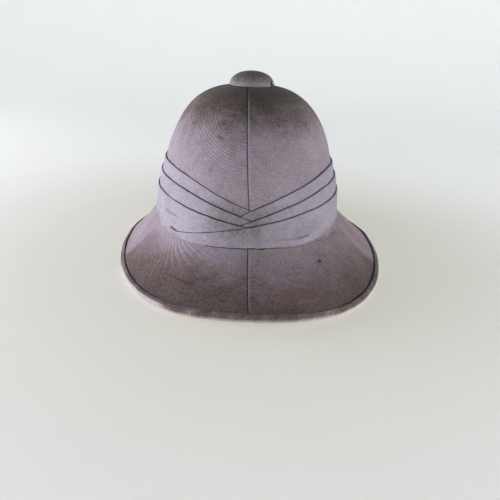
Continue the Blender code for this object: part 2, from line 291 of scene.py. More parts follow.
def form_offset(turn, station, offset):
    turn, station = np.broadcast_arrays(turn, station)
    normal = outward_normal(form, turn, np.clip(station, 2 * PROBE, 3 - 2 * PROBE))
    return form(turn, station) + normal * np.broadcast_to(offset, turn.shape)[..., None]


def wall_offset(turn, z, offset):
    turn, z = np.broadcast_arrays(turn, z)
    normal = outward_normal(crown_by_height, turn, z, downward=-1)
    return crown_by_height(turn, z) + normal * np.broadcast_to(offset, turn.shape)[..., None]


# Mesh building

def weld(mesh):
    """Joins a mesh's coincident points, drops the loose edges that leaves and shades it smooth."""
    shaped = bmesh.new()
    shaped.from_mesh(mesh)
    bmesh.ops.remove_doubles(shaped, verts=shaped.verts, dist=WELD)
    bare = [edge for edge in shaped.edges if not edge.link_faces]
    bmesh.ops.delete(shaped, geom=bare, context="EDGES")
    bmesh.ops.recalc_face_normals(shaped, faces=shaped.faces)
    shaped.to_mesh(mesh)
    shaped.free()
    mesh.shade_smooth()


def make_piece(name, points, faces, uvs, material, replaced, slot):
    """A closed mesh, smooth but for its sharp edges, shown in place of a CAD node.

    Each corner has four numbers, kept as two UV pairs: its place along and down the cloth in metres, its
    distance from the nearest crevice in millimetres, where the cloth gets painted shade, and how much it is
    darkened, by soil and by painted light and shade.
    """
    mesh = bpy.data.meshes.new(name)
    mesh.from_pydata(points.reshape(-1, 3).tolist(), [], faces)
    # the second pair drives the painted shade along crevices and the darkening from soil and painted light
    for first, layer in ((0, "cloth"), (2, "wear")):
        pair = np.ascontiguousarray(uvs[:, first:first + 2], dtype=np.float32)
        mesh.uv_layers.new(name=layer).data.foreach_set("uv", pair.ravel())
    weld(mesh)
    mesh.set_sharp_from_angle(angle=math.radians(SHARP_DEG))
    mesh.materials.append(material)
    piece = bpy.data.objects.new(name, mesh)
    bpy.context.collection.objects.link(piece)
    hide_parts(replaced)
    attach(piece, "root")


def grid_cells(rows, columns, around):
    """For each cell of a grid, its corners' rows and columns; the last column meets the first if around."""
    row, column = np.meshgrid(np.arange(rows - 1), np.arange(columns if around else columns - 1),
                              indexing="ij")
    row, column = row.ravel(), column.ravel()
    corners = ((0, 0), (0, 1), (1, 1), (1, 0))
    return np.stack([np.stack([row + i, column + j], -1) for i, j in corners], 1)


def wall(name, outer, inner, uv, around, *dress):
    """A thin solid between two grids. Its uv has one more column than they have if they go all round."""
    rows, columns = outer.shape[:2]
    cells = grid_cells(rows, columns, around)
    numbers = cells[..., 0] * columns + cells[..., 1] % columns
    behind = rows * columns
    faces = numbers.tolist() + (numbers + behind).tolist()
    uvs = [uv[cells[..., 0], cells[..., 1]].reshape(-1, 4)] * 2
    rims = [[(row, column) for column in range(columns + around)] for row in (0, rows - 1)]
    if not around:
        rims += [[(row, column) for row in range(rows)] for column in (0, columns - 1)]
    for rim in rims:
        for here, after in zip(rim, rim[1:]):
            near = [place[0] * columns + place[1] % columns for place in (here, after)]
            faces.append([near[0], near[1], near[1] + behind, near[0] + behind])
            uvs.append([uv[here], uv[after], uv[after], uv[here]])
    points = np.concatenate([outer.reshape(-1, 3), inner.reshape(-1, 3)])
    make_piece(name, points, faces, np.concatenate(uvs), *dress)


def tube(name, grid, uv, capped, *dress):
    """A solid whose rows go round its section. Its columns run along it, all round unless it is capped."""
    rows, columns = grid.shape[:2]
    cells = grid_cells(rows + 1, columns, not capped)
    faces = (cells[..., 0] % rows * columns + cells[..., 1] % columns).tolist()
    uvs = [uv[cells[..., 0], cells[..., 1]].reshape(-1, 4)]
    if capped:
        for column in (0, columns - 1):
            faces.append([row * columns + column for row in range(rows)])
            uvs.append(uv[:rows, column])
    make_piece(name, grid, faces, np.concatenate(uvs), *dress)


def lengths(points, axis):
    """Distances from 0 along a line of points, or along a grid's rows or columns."""
    steps = np.linalg.norm(np.diff(points, axis=axis), axis=-1)
    zero = np.zeros_like(np.take(steps, [0], axis=axis))
    return np.cumsum(np.concatenate([zero, steps], axis=axis), axis=axis)


# Cover cloth

# Distances from a seam at which the cloth has a column of points, over it and, on the left, under its lap
NEAR_SEAM = np.array((0.0, 0.0001, 0.00025, 0.00045, 0.0007, 0.0012, 0.002, 0.0028, 0.0034, 0.0038,
                      0.0042, 0.005, 0.006, 0.007, 0.0085, 0.010))
UNDER_SEAM = np.array((-0.0040, -0.0020, -0.0008, -0.0003))
SEAM_MOST_TURN = 0.44       # the front seam is looked for within this azimuth, in radians
SEAM_HALVINGS = 24
SEAM_HIGHLIGHT_REACH = 0.0012          # how far the painted highlight along the folded edge reaches
SEAM_STITCH = 0.0036        # from the folded edge to the row of stitches
STITCH_REACH = 0.0005
STITCH_PULL = 0.3           # share of the lap's height
SEAM_SINK = 0.00025         # how far the left side is pressed in under the lap's edge
SEAM_SINK_REACH = 0.0012
SEAM_LINE_RIGHT = 4.0       # how steeply a seam's dark line, painted shade, fades away from it
SEAM_LINE_LEFT = 2.2
SEAM_LINE_START = 0.00035
CROWN_FOLD_HIGHLIGHT = 0.6       # how much paler the folded edge is painted, a painted highlight
BRIM_FOLD_HIGHLIGHT = 0.45
CROWN_ROWS = 110
BRIM_ROWS = 70
HALF_COLUMNS = 170
SHELL_COLUMNS = 180
SHELL_GRAIN_RADIUS = 0.12   # turns its azimuths into places along its grain
FINE_COLUMNS = 900          # for measuring along a row
FINE_PAST_ENDS = 0.5        # how far that goes on past the row's ends, in radians
CLOTH_WAVES = ((0.00022, 0.055, 3), (0.00008, 0.019, 4))
BRIM_WAVES = ((0.00022, 0.038, 8),)
BODY_WAVES = ((0.00018, 0.035, 21), (0.0001, 0.012, 22))

# Soft ridges down the brim's sides, by their azimuths at the band and at the edge
BRIM_RIDGES = ((-76, -71), (85, 75))
RIDGE_HEIGHT = 0.0005
RIDGE_REACH = 0.0035
RIDGE_RADIUS = 0.125        # from the helmet's middle to the ridges

# Dark lines of painted shade on the brim: along the binding, which covers more of it at the sides, and along
# the band in front, between azimuths at which it starts, is full, starts to fade and ends
LINE_AT_TIPS = 0.0005
LINE_AT_SIDES = -0.0010
BAND_LINE_DEG = (-30, -20, 9, 13)
NO_LINE = 0.0200            # a distance at which none shows

# Soil that gathers round an azimuth, with its reach in degrees, and grows along a ramp: of the height on
# the crown, and of the way down to the edge on the brim
CROWN_PATCHES = [
    dict(amount=0.20, deg=-4, reach=26, ramp=(0.140, 0.118)),
    dict(amount=0.09, deg=-48, reach=26, ramp=(0.112, 0.145)),
]
BRIM_PATCHES = [
    dict(amount=0.40, deg=-30, reach=26, ramp=(0.05, 0.5)),
    dict(amount=0.20, deg=-48, reach=18, ramp=(0.6, 0.95)),
    dict(amount=0.20, deg=42, reach=24, ramp=(0.1, 0.5)),
    dict(amount=0.36, deg=56, reach=22, ramp=(0.5, 0.0)),
]


def seam_turn(station, x):
    """The azimuths at which the form, at these stations, is x across from the crown's centre."""
    low, high = np.full(station.shape, -SEAM_MOST_TURN), np.full(station.shape, SEAM_MOST_TURN)
    for _ in range(SEAM_HALVINGS):
        middle = (low + high) / 2
        short = form(middle, station)[..., 0] - CROWN_CENTRE[0] - FORM_SHIFT[0] < x
        low, high = np.where(short, middle, low), np.where(short, high, middle)
    return middle


def crown_seam_x(station):
    drop = CROWN_TOP_Z - (form(FRONT, station)[..., 2] - FORM_SHIFT[2])
    share = np.clip(drop / (CROWN_TOP_Z - FOLDS[0]["apex_z"]), 0, 1)
    return mix(SEAM_X_TOP, SEAM_X_NOTCH, share ** 2)


def brim_seam_x(station):
    return mix(SEAM_X_NOTCH, SEAM_X_EDGE, np.clip(station - 2, 0, 1))


def panel_columns(stations, side, seam):
    """For each row, azimuths from the front seam to the back one, and the distances from both.

    The right side starts at its folded edge, and the left one a little way under it.
    """
    ends = NEAR_SEAM if side > 0 else np.concatenate([UNDER_SEAM, NEAR_SEAM])
    turns, from_front, from_back = [], [], []
    for station, start in zip(stations, seam):
        fine = np.linspace(start - side * FINE_PAST_ENDS, side * (math.pi + FINE_PAST_ENDS), FINE_COLUMNS)
        along = lengths(form(fine, station), 0)
        at_start = np.interp(start * side, fine * side, along)
        total = np.interp(math.pi, fine * side, along) - at_start
        near = ends * min(1.0, total / (3 * NEAR_SEAM[-1]))
        places = np.concatenate([near[:-1], np.linspace(near[-1], total - near[-1], HALF_COLUMNS),
                                 total - near[-2::-1]])
        turns.append(np.interp(places + at_start, along, fine))
        from_front.append(places)
        from_back.append(total - places)
    return np.array(turns), np.array(from_front), np.array(from_back)


def lap_lift(distance):
    """How far the right side's folded edge stands over the left side."""
    near_edge = np.clip(distance / LAP_ROUND, 0, 1)
    rounded = np.sqrt(1 - (1 - near_edge) ** 2)
    stitched = 1 - STITCH_PULL * bump(distance, SEAM_STITCH, STITCH_REACH)
    return LAP_HEIGHT * rounded * stitched * smooth(distance, LAP_END, LAP_FLAT)


def cover_lift(points, turn, station, from_seam, side):
    """Unevenness of the cloth, its lap at the seams and the soft ridges on the brim's sides."""
    lift = unevenness(points, CLOTH_WAVES)
    if side > 0:
        lift = lift + lap_lift(from_seam)
    else:
        lift = lift - SEAM_SINK * bump(np.maximum(from_seam, 0), 0, SEAM_SINK_REACH)
    down = station - 2
    on_brim = smooth(down, 0.0, 0.12)
    lift = lift + on_brim * unevenness(points, BRIM_WAVES)
    for top_deg, edge_deg in BRIM_RIDGES:
        ridge = np.radians(mix(top_deg, edge_deg, np.clip(down, 0, 1)))
        lift = lift + on_brim * RIDGE_HEIGHT * bump((turn - ridge) * RIDGE_RADIUS, 0, RIDGE_REACH)
    return lift * smooth(inside_binding(turn, station), -0.0005, 0.0035)


def crown_crevice(turn, station):
    """Distance from the band's upper edge or from the cap's lip, along which the cloth gets painted shade.
    """
    points = form(turn, station) - FORM_SHIFT
    reach = np.hypot(points[..., 0] - CROWN_CENTRE[0], points[..., 1] - CROWN_CENTRE[1])
    return np.minimum(points[..., 2] - edge_line(1, turn), reach - CAP_RADIUS + 0.0004)


def brim_crevice(turn, station):
    """Distance from the binding's inner edge, or from the band where its foot casts a line in front: painted
    shade along both.
    """
    degrees = np.degrees(turn)
    from_binding = inside_binding(turn, station)
    from_binding = from_binding + mix(LINE_AT_TIPS, LINE_AT_SIDES, smooth(np.abs(degrees), 25, 45))
    in_front = within(degrees, *BAND_LINE_DEG)
    from_band = (station - 2) * brim_run(turn) + NO_LINE * (1 - in_front) ** 3
    return np.minimum(from_binding, from_band)


def patches(table, degrees, place):
    return sum(patch["amount"] * bump(degrees, patch["deg"], patch["reach"]) * smooth(place, *patch["ramp"])
               for patch in table)


def crown_soil_and_shade(turn, station):
    """Darker towards the top and most under the cap, a little darker on the left than on the right, which is
    painted shade against the strong left lamp, and patches.
    """
    z = form(turn, station)[..., 2]
    by_height = smooth(z, 0.119, 0.175) + 0.8 * smooth(z, 0.160, 0.172)
    # painted shade: the left side is darkened against the strong left lamp
    return by_height - 0.05 * np.sin(turn) + patches(CROWN_PATCHES, np.degrees(turn), z)


def brim_soil_and_light(turn, station):
    """Darker towards the edge. Behind the side ridges it is painted lighter, a painted lighting step where
    the brim turns to its lit sides, and beside the band on the left it is paler.
    """
    down, degrees = np.clip(station - 2, 0, 1), np.degrees(turn)
    # Painted light: behind the side ridges the brim is painted lighter, less so towards the back
    behind_left = 0.80 * smooth(-degrees, mix(62, 69, down), mix(67, 72, down))
    behind_right = mix(0.45, 1.0, smooth(down, 0.3, 0.9)) * smooth(degrees, 69, 74)
    behind = (behind_left + behind_right) * (1 - 0.5 * smooth(np.abs(degrees), 95, 150))
    by_band = smooth(-degrees, 18, 40) * smooth(down, 0.22, 0.0)
    return (0.17 + 0.78 * down ** 1.2 + patches(BRIM_PATCHES, degrees, down)
            - 0.62 * behind - 0.34 * by_band)


def add_panel(name, side, stations, seam_x, distance, darkening, fold_highlight_amount, material, replaced):
    seam = seam_turn(stations, seam_x(stations))
    turn, from_front, from_back = panel_columns(stations, side, seam)
    station = np.broadcast_to(stations[:, None], turn.shape)
    from_seam = np.minimum(from_front, from_back)
    lift = cover_lift(form(turn, station), turn, station, from_seam, side)
    outer = form_offset(turn, station, lift)
    inner = form_offset(turn, station, np.minimum(lift, 0.0) - CLOTH * 0.8)
    down = lengths(form(side * math.pi / 2, stations), 0)
    # On the right the dark line at the seam is painted shade under the lap's edge and the paler folded edge
    # is a painted highlight; on the left the painted shade starts a little way from the seam.
    if side > 0:
        seam_line = from_seam * SEAM_LINE_RIGHT
        fold_highlight = fold_highlight_amount * bump(from_seam, 0, SEAM_HIGHLIGHT_REACH)
    else:
        seam_line = np.maximum(from_seam - SEAM_LINE_START, 0.0) * SEAM_LINE_LEFT
        fold_highlight = 0.0
    crevice = np.minimum(seam_line, distance(turn, station)) * 1000
    uv = stack(from_front * side, down[:, None], crevice, darkening(turn, station) - fold_highlight)
    wall(name, outer, inner, uv, False, material, replaced, "cover_cloth")


def add_covers(crown_material, brim_material):
    crown = np.linspace(0.0, 1.0, CROWN_ROWS)
    brim = np.concatenate([np.linspace(1.1, 2.0, 8)[:-1], np.linspace(2.0, 3.0, BRIM_ROWS)])
    for side, word in ((-1, "left"), (1, "right")):
        add_panel("crown_cloth_" + word, side, crown, crown_seam_x, crown_crevice, crown_soil_and_shade,
                  CROWN_FOLD_HIGHLIGHT, crown_material, "crown_panel_" + word)
        add_panel("brim_cloth_" + word, side, brim, brim_seam_x, brim_crevice, brim_soil_and_light,
                  BRIM_FOLD_HIGHLIGHT, brim_material, "brim_panel_" + word)


def add_shell(material):
    stations = np.concatenate([np.linspace(0, 1, 50), np.linspace(1, 2, 7)[1:], np.linspace(2, 3, 34)[1:]])
    turns = all_round(SHELL_COLUMNS)
    turn, station = np.broadcast_arrays(turns[None], stations[:, None])
    thickness = mix(SHELL_AT_CROWN, SHELL_AT_EDGE, np.clip(station - 2, 0, 1))
    top = -(CLOTH + GAP)
    rough = unevenness(form(turn, station), BODY_WAVES)
    outer = form_offset(turn, station, top)
    inner = form_offset(turn, station, top - thickness + rough)
    down = lengths(form(turn, station)[:, SHELL_COLUMNS // 4], 0)
    around = np.append(turns, TAU) * SHELL_GRAIN_RADIUS
    uv = stack(around[None], down[:, None], 10.0, 0.0)
    wall("pith_body", outer, inner, uv, True, material, "pith_shell", "pith")


# Puggaree

PLEAT_COLUMNS = 330
TAIL_COLUMNS = 40           # more of them on the right pleats, whose ends run on over the left side
PLEAT_FACE_ROWS = 16
PLEAT_ROUND_ROWS = 8
BACK_GAP_TURN = 0.0012
SLIP_UNDER_DEG = 3.0        # how far a left pleat's end runs on under the right one
TAIL_LEAST = 0.0045         # the right pleats' ends stay this high over the band's foot
FLARE = 0.0022              # how far the lowest pleats' foot spreads over the brim at the sides
FLARE_HEIGHT = 0.0110
FRONT_FOOT_RISE = 0.0004
WAVES_ALONG_EDGE = ((1.0, 0.045, 0), (0.5, 0.016, 1))
EDGE_WAVE = 0.00022

# Soft dents in the lowest pleats: from and to, each an azimuth in degrees and a height, and half the width
CREASES = [
    dict(start=(-57, 0.0622), end=(-38, 0.0617), width=0.0022, height=-0.0005),
    dict(start=(14, 0.0534), end=(38, 0.0520), width=0.0020, height=-0.0007),
    dict(start=(-75, 0.0560), end=(-64, 0.0520), width=0.0024, height=-0.0005),
    dict(start=(58, 0.0640), end=(72, 0.0600), width=0.0024, height=-0.0005),
]

# The band's foot is stained like the brim in front on the right, under a dark line of painted shade with
# four azimuths like the brim's
STAIN_HEIGHT = 0.0023
STAIN_DEG = 31
STAIN_REACH_DEG = 13.5
FOOT_SHADE_LINE_DEG = (5, 8, 25, 33)


def fold_top_z(fold, turn):
    degrees = np.degrees(turn)
    from_apex = np.minimum(np.abs(degrees - fold["apex_deg"]), 180 - np.abs(degrees))
    rise = np.sin(np.radians(np.minimum(90.0, from_apex * 90 / FOLD_RISE_DEG)))
    return mix(fold["apex_z"], fold["side_z"], rise)


def tail_top_z(fold, turn):
    """The right pleat's edge past the apex, down to the left. The last one turns up into a short hook."""
    line = fold["apex_z"] - fold["tail_drop"] * (fold["apex_deg"] - np.degrees(turn))
    return np.maximum(line, leave_z(turn) + TAIL_LEAST)


def foot_z(turn, offset, lowest):
    """The height at which a pleat's face, offset from the wall, stands just clear of the fillet."""
    corner_z = fillet_corner_z(turn)
    share = np.sqrt(np.clip(offset / BAND_OUT, 0, 1))
    beyond = np.maximum(offset - BAND_OUT, 0)
    foot = curve(corner_z + FILLET_RISE, corner_z, leave_z(turn), share) - beyond * brim_start_slope(turn)
    return foot + FRONT_FOOT_RISE * lowest * bump(np.degrees(turn), 2, 24)


def wobble(turn, seed):
    """A slight unevenness of a line that runs round the helmet."""
    ring = stack(0.1 * np.sin(turn), 0.1 * np.cos(turn), 0.0)
    waves = [(height, wavelength, seed + more) for height, wavelength, more in WAVES_ALONG_EDGE]
    return EDGE_WAVE * unevenness(ring, waves)


def left_top(number, turn):
    fold = FOLDS[number - 1]
    past = np.maximum(0, np.degrees(turn) - fold["apex_deg"])
    return fold_top_z(fold, turn) + wobble(turn, 20 * number) - past * 0.0014


def right_top(number, turn):
    fold = FOLDS[number - 1]
    line = np.where(np.degrees(turn) < fold["apex_deg"], tail_top_z(fold, turn), fold_top_z(fold, turn))
    return line + wobble(turn, 20 * number + 3)


def tail_line(number, turn):
    """The right pleat's edge where it lies over the left one, and far below elsewhere."""
    fold, degrees = FOLDS[number - 1], np.degrees(turn)
    over_left = (degrees < fold["apex_deg"]) & (degrees > fold["tail_end_deg"])
    return np.where(over_left, right_top(number, turn), 0)


def edge_line(number, turn):
    """The upper edge of a layer of the puggaree, or nothing below the lowest one."""
    if number > len(FOLDS):
        return np.zeros(turn.shape)
    on_left = np.degrees(turn) < FOLDS[number - 1]["apex_deg"]
    return np.where(on_left, left_top(number, turn), right_top(number, turn))


def creases(turn, z):
    lift = 0.0
    degrees = np.degrees(turn)
    for crease in CREASES:
        (from_deg, from_z), (to_deg, to_z) = crease["start"], crease["end"]
        share = (degrees - from_deg) / (to_deg - from_deg)
        away = (z - mix(from_z, to_z, np.clip(share, 0, 1))) / crease["width"]
        fade = within(share, -0.25, 0.25, 0.75, 1.25)
        lift = lift + crease["height"] * fade * (bump(away, 0, 1) - 0.6 * bump(away, 1.9, 1))
    return lift


def stained_height(turn):
    """How high over its foot the band is stained."""
    return STAIN_HEIGHT * bump(np.degrees(turn), STAIN_DEG, STAIN_REACH_DEG)


def foot_shade_line(turn, z):
    """Distance from the stain's upper edge, along which runs a line of painted shade, and far from it where
    it has none.
    """
    there = within(np.degrees(turn), *FOOT_SHADE_LINE_DEG)
    return np.abs(z - leave_z(turn) - stained_height(turn)) - 0.0001 + NO_LINE * (1 - there) ** 3


def pleat_soil(turn, z):
    """Most in front and at the foot."""
    degrees = np.degrees(turn)
    height = z - leave_z(turn)
    in_front = 0.6 * bump(degrees, -3, 17) * mix(0.65, 1.0, smooth(z, 0.050, 0.060))
    foot = (0.4 * smooth(-degrees, 25, 45) * smooth(height, 0.006, 0.0)
            + 0.9 * smooth(degrees, 28, 50) * smooth(height, 0.010, 0.0))
    foot = foot * (1 - 0.5 * smooth(np.abs(degrees), 90, 130))
    stained = stained_height(turn)
    stain = smooth(height, stained + 0.0006, stained - 0.0004) * smooth(stained, 0.0002, 0.0008)
    beside = 0.07 * smooth(-degrees, 38, 60) - 0.16 * smooth(degrees, 24, 34)
    return in_front + foot + stain + beside + 0.02


def add_pleat(side, number, turns, top, low, high, cover, seed, material):
    """A pleat of doubled cloth from its rounded top edge down to its foot.

    top, low and high are, for each azimuth, the height of its edge and the offsets of its two faces, and
    cover is the height up to which other pleats hide it. The lowest one's foot spreads at the sides.
    """
    lowest = number == len(FOLDS)
    flare = FLARE * smooth(np.abs(np.degrees(turns)), 35, 60) * lowest
    radius = (high - low) / 2
    share = np.linspace(0, 1, PLEAT_FACE_ROWS)[:, None] ** 0.8
    wall_top = top - radius
    bend = np.linspace(0, math.pi, PLEAT_ROUND_ROWS + 2)[1:-1, None]
    outer_foot = foot_z(turns, high + flare, lowest)
    z = np.concatenate([mix(foot_z(turns, low, lowest), wall_top, share),
                        wall_top + radius * 1.15 * np.sin(bend),
                        mix(wall_top, outer_foot, 1 - share[::-1])])
    outward = np.concatenate([share * 0, (1 - np.cos(bend)) / 2, share * 0 + 1])
    spread = smooth(z, foot_z(turns, high, lowest) + FLARE_HEIGHT, outer_foot)
    offset = mix(low, high, outward) + outward * flare * spread ** 1.5
    turn = np.broadcast_to(turns, z.shape)
    points = wall_offset(turn, z, offset)
    loose = smooth(np.clip(top - z, 0, None), 0.0004, 0.004)
    lift = (unevenness(points, ((0.00014, 0.024, seed),))
            + unevenness(points * (1, 1, 2.5), ((0.00010, 0.012, seed + 5),)))
    if lowest:
        lift = lift + creases(turn, z)
    points = wall_offset(turn, z, offset + outward * loose * lift)
    along = lengths(crown_by_height(turns, 0.06), 0)
    up = lengths(points, 0)
    # Painted shade: the outer face darkens just above the edge of the pleat that covers it, and along the
    # foot's shade line
    from_cover = np.where(outward > 0.35, z - cover, 0.0)
    crevice = np.minimum(from_cover, foot_shade_line(turn, z)) * 1000
    uv = stack(along, up, crevice, pleat_soil(turn, z))
    tube(f"pleat_{side}_{number}", points, np.concatenate([uv, uv[-1:]]), True, material,
         f"fold_{side}_{number}", "puggaree_cloth")


def add_puggaree(material):
    back = math.pi - BACK_GAP_TURN
    for number, fold in enumerate(FOLDS, 1):
        low = (number - 1) * PLEAT_PITCH + 0.0001
        high = low + PLEAT_CLOTH
        apex, tail_end = fold["apex_deg"], fold["tail_end_deg"]

        turns = np.linspace(-back, math.radians(apex + SLIP_UNDER_DEG), PLEAT_COLUMNS)
        thinned = TAIL_CLOTH * smooth(np.degrees(turns), tail_end - 14, tail_end + 1)
        cover = np.maximum(tail_line(number, turns), edge_line(number + 1, turns))
        add_pleat("left", number, turns, left_top(number, turns), np.full(turns.shape, low),
                  high - thinned, cover, 20 * number, material)

        turns = np.linspace(math.radians(tail_end), back, PLEAT_COLUMNS + TAIL_COLUMNS)
        over = smooth(np.degrees(turns), apex + 9, apex + SLIP_UNDER_DEG)
        raised = low + over * (PLEAT_CLOTH - TAIL_CLOTH + 0.00005)
        add_pleat("right", number, turns, right_top(number, turns), raised,
                  np.full(turns.shape, high), edge_line(number + 1, turns), 20 * number + 2, material)


# Binding

BINDING_COLUMNS = 620
BINDING_LAP_DEG = (94.5, 94.85, 99.0, 101.5)    # here the tape's end lies over its start
LAP_WIDER = 0.0004
LAP_THICKER = 0.15
FLOOR_Z = 0.00002           # the tape is pressed flat where it meets the floor
STITCH_PITCH = 0.0032
STITCH_INSIDE = 0.0016      # from the tape's inner edge to its stitched groove
STITCH_GROOVE = 0.0004
GROOVE_DEPTH = 0.00012
WIDTH_WAVES = ((0.0002, 0.05, 41),)
THICKNESS_WAVES = ((0.035, 0.03, 42), (0.02, 0.011, 43))


def binding_section(width, swell):
    """The tape's closed section, along the brim and across it: round the outside, then back inside."""
    half = BINDING_HALF * swell
    body = (CLOTH + GAP + SHELL_AT_EDGE) / 2 + 0.0002
    corner = half - body
    edge = np.linspace(0, math.pi / 2, 5)
    shape_x = [-width - corner * 0.2 + corner * (1 - math.cos(a)) * 0.9 for a in edge]
    shape_y = [body + corner * math.sin(a) for a in edge]
    flat_x = np.linspace(-width + corner * 1.2, -BINDING_SINK - 0.0012, 6)
    bulge = 0.00025 * np.sin(np.linspace(0, math.pi, 8))[1:-1]
    angles = np.linspace(math.pi / 2, -math.pi / 2, 17)
    round_x = half * 1.02 * signed_power(np.cos(angles), 0.9) - BINDING_SINK
    round_y = half * np.sin(angles)
    top_x = np.concatenate([shape_x, flat_x])
    top_y = np.concatenate([shape_y, half + bulge])
    inside = body - 0.0002
    outer_x = np.concatenate([top_x, round_x, top_x[::-1]])
    outer_y = np.concatenate([top_y, round_y, -top_y[::-1]])
    inner_x = np.array([-width, 0.0004, 0.0004, -width])
    inner_y = np.array([-inside, -inside, inside, inside])
    return np.concatenate([outer_x, inner_x]), np.concatenate([outer_y, inner_y])


def closed(grid):
    """A grid with its first row and column repeated after the last."""
    grid = np.concatenate([grid, grid[:1]])
    return np.concatenate([grid, grid[:, :1]], 1)


def binding_soil_and_light(degrees, across, upward, beside):
    """Soiled above and round the edge; paler below, partly cleaner tape and partly painted light from below;
    and painted paler along a stretch in front on the left, a painted highlight on the tape's outer roll and
    underside.
    """
    darkening = 0.85 - smooth(-upward, -0.0022, -0.0004) * mix(0.55, 0.70, beside)
    # painted highlight along the stretch in front on the left
    lit_stretch = within(-degrees, 24, 42, 52, 70)
    return darkening - 1.4 * lit_stretch * np.maximum(smooth(across, -0.0004, 0.0008), upward < 0)


def add_binding(material):
    turns = all_round(BINDING_COLUMNS)
    core_edge = edge_point(turns)
    normal = outward_normal(form, turns, 3 - 2 * PROBE)
    around = unit(edge_point(turns + PROBE) - edge_point(turns - PROBE))
    outward = unit(np.cross(normal, around))
    outward *= np.sign(np.sum(outward * core_edge, axis=-1, keepdims=True))
    core = core_edge - normal * (CLOTH + GAP + SHELL_AT_EDGE) / 2
    along = lengths(np.concatenate([core, core[:1]]), 0)
    degrees = np.degrees(turns)
    lap = within(degrees, *BINDING_LAP_DEG)
    width = binding_width(turns) + unevenness(core, WIDTH_WAVES) + LAP_WIDER * lap
    swell = 1 + unevenness(core, THICKNESS_WAVES) + LAP_THICKER * lap
    sections = [binding_section(w, s) for w, s in zip(width, swell)]
    across = np.array([section[0] for section in sections]).T
    upward = np.array([section[1] for section in sections]).T
    grid = core + outward * across[..., None] + normal * upward[..., None]
    stitches = np.maximum(0, np.cos(along[:-1] * TAU / STITCH_PITCH)) ** 2
    on_face = np.sign(upward) * (np.abs(upward) > 0.0024)
    groove = bump(across + width, STITCH_INSIDE, STITCH_GROOVE) * on_face
    grid = grid - normal * (groove * GROOVE_DEPTH * (2 - stitches))[..., None]
    grid[..., 2] = np.maximum(grid[..., 2], FLOOR_Z)
    round_section = lengths(np.concatenate([grid, grid[:1]]), 0)
    round_section = np.concatenate([round_section, round_section[:, :1]], 1)
    across, upward = closed(across), closed(upward)
    inside = across + np.append(width, width[0])
    degrees = np.append(signed_degrees(turns), 0.0)
    beside = smooth(np.abs(degrees), 22, 48)
    # Painted shade: the tape's inner edge is painted dark where it meets the brim
    crevice = (inside + mix(0.0006, 0.0001, beside)) * 1000
    uv = stack(along, round_section, crevice, binding_soil_and_light(degrees, across, upward, beside))
    tube("edge_tape", grid, uv, False, material, "edge_binding", "binding_cloth")


# Ventilator

CAP_COLUMNS = 180
CAP_WAVE = 0.008            # height of its unevenness, as a share of the radius
CAP_WAVELENGTH = 0.014
TUCK_DEG = 64.0             # where the cap's cloth is tucked in at its lip
TUCK_REACH_DEG = 7.0
TUCK_DEPTH = 0.0012
TUCK_RISE = 0.0006
TUCK_HALF_WIDTH = 0.0018
TUCK_HEIGHT = 0.0042


def cap_profile():
    """Radius and height from the top of the dome down to its lip, and back up inside."""
    lip = np.linspace(-math.pi / 2, math.pi * 0.42, 9)
    lip_r = CAP_RADIUS - LIP_RADIUS * 0.6 + LIP_RADIUS * np.cos(lip)
    lip_z = CAP_BASE_Z + LIP_RADIUS + LIP_RADIUS * np.sin(lip)
    dome = np.linspace(0.06, math.pi / 2, 26)
    dome_foot = 2 * LIP_RADIUS - 0.0004
    dome_r = (CAP_RADIUS - 0.0006) * np.cos(dome) ** 0.94
    dome_z = CAP_BASE_Z + dome_foot + (CAP_HEIGHT - dome_foot) * np.sin(dome)
    inside = np.linspace(0.0, math.pi / 2, 8)
    inner_r = (CAP_RADIUS - CAP_WALL - 0.0006) * np.cos(inside)
    inner_z = CAP_BASE_Z + 0.0012 + (CAP_HEIGHT - CAP_WALL - 0.0016) * np.sin(inside)
    dome_r[-1] = inner_r[-1] = 0.0
    radius = np.concatenate([dome_r[::-1], lip_r[::-1], inner_r])
    return radius[:, None], np.concatenate([dome_z[::-1], lip_z[::-1], inner_z])[:, None]


def add_ventilator(cloth):
    """The cap, a solid of revolution with a slight pull in its cloth and a tuck at the right of its lip."""
    turns = all_round(CAP_COLUMNS)
    radius, z = cap_profile()
    ring = stack(np.sin(turns) * radius, np.cos(turns) * radius, z)
    radius = radius * (1 + CAP_WAVE * waviness(ring, CAP_WAVELENGTH, 51))
    tuck = bump(np.degrees(turns), TUCK_DEG, TUCK_REACH_DEG) * smooth(radius, 0.018, 0.021)
    radius, z = radius - TUCK_DEPTH * tuck, z + TUCK_RISE * tuck
    grid = stack(CROWN_CENTRE[0] + radius * np.sin(turns), CROWN_CENTRE[1] - radius * np.cos(turns), z)
    grid = grid + FORM_SHIFT
    down = lengths(grid, 0)[:, 0]
    down = np.append(down, down[-1] + 0.001)[:, None]
    turns = np.append(turns, TAU)
    up = closed(z) - CAP_BASE_Z
    # Painted shade: the tuck at the lip is painted dark
    from_tuck = np.abs(turns - math.radians(TUCK_DEG)) * CAP_RADIUS - TUCK_HALF_WIDTH
    crevice = np.maximum(from_tuck, up - TUCK_HEIGHT) * 1000
    darkening = 0.65 * smooth(up, 0.001, 0.006) + 0.5 * smooth(up, 0.006, 0.013)
    uv = stack(down * np.sin(turns), down * np.cos(turns), crevice, darkening)
    tube("cap_cloth", grid, uv, False, cloth, "ventilator_cap", "cover_cloth")


# Materials

